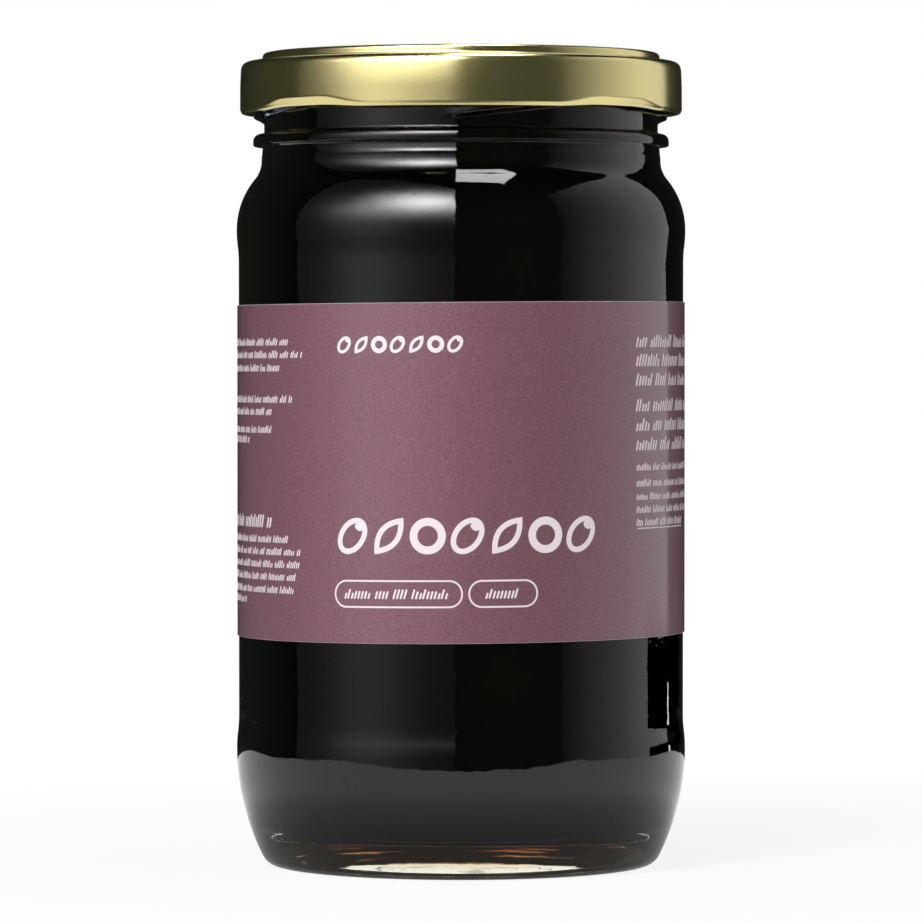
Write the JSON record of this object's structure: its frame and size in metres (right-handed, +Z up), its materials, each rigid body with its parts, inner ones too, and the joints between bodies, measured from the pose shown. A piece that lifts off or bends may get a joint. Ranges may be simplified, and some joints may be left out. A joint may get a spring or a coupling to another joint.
{
  "type": "jar of olives",
  "caption": "Closed glass jar filled with dark olives in brine, with a satin gold lug cap and a plum wrap-round label.",
  "frame": {"origin": "centre of the ring that the jar stands on, on the jar's axis", "axes": "+Z up along the jar's axis, -Y towards the middle of the label, +X to the right of the label seen from the front"},
  "size_m": [0.0672, 0.0673, 0.1215],
  "materials": {
    "glass": "gloss",
    "olives_and_brine": "gloss",
    "gold_lacquer": "satin",
    "sealing_compound": "matte",
    "label_paper": "satin"
  },
  "bodies": {
    "root": {"jar_glass": "glass", "olives_in_brine": "olives_and_brine", "twist_cap": "gold_lacquer", "cap_liner": "sealing_compound", "label": "label_paper"}
  },
  "joints": []
}
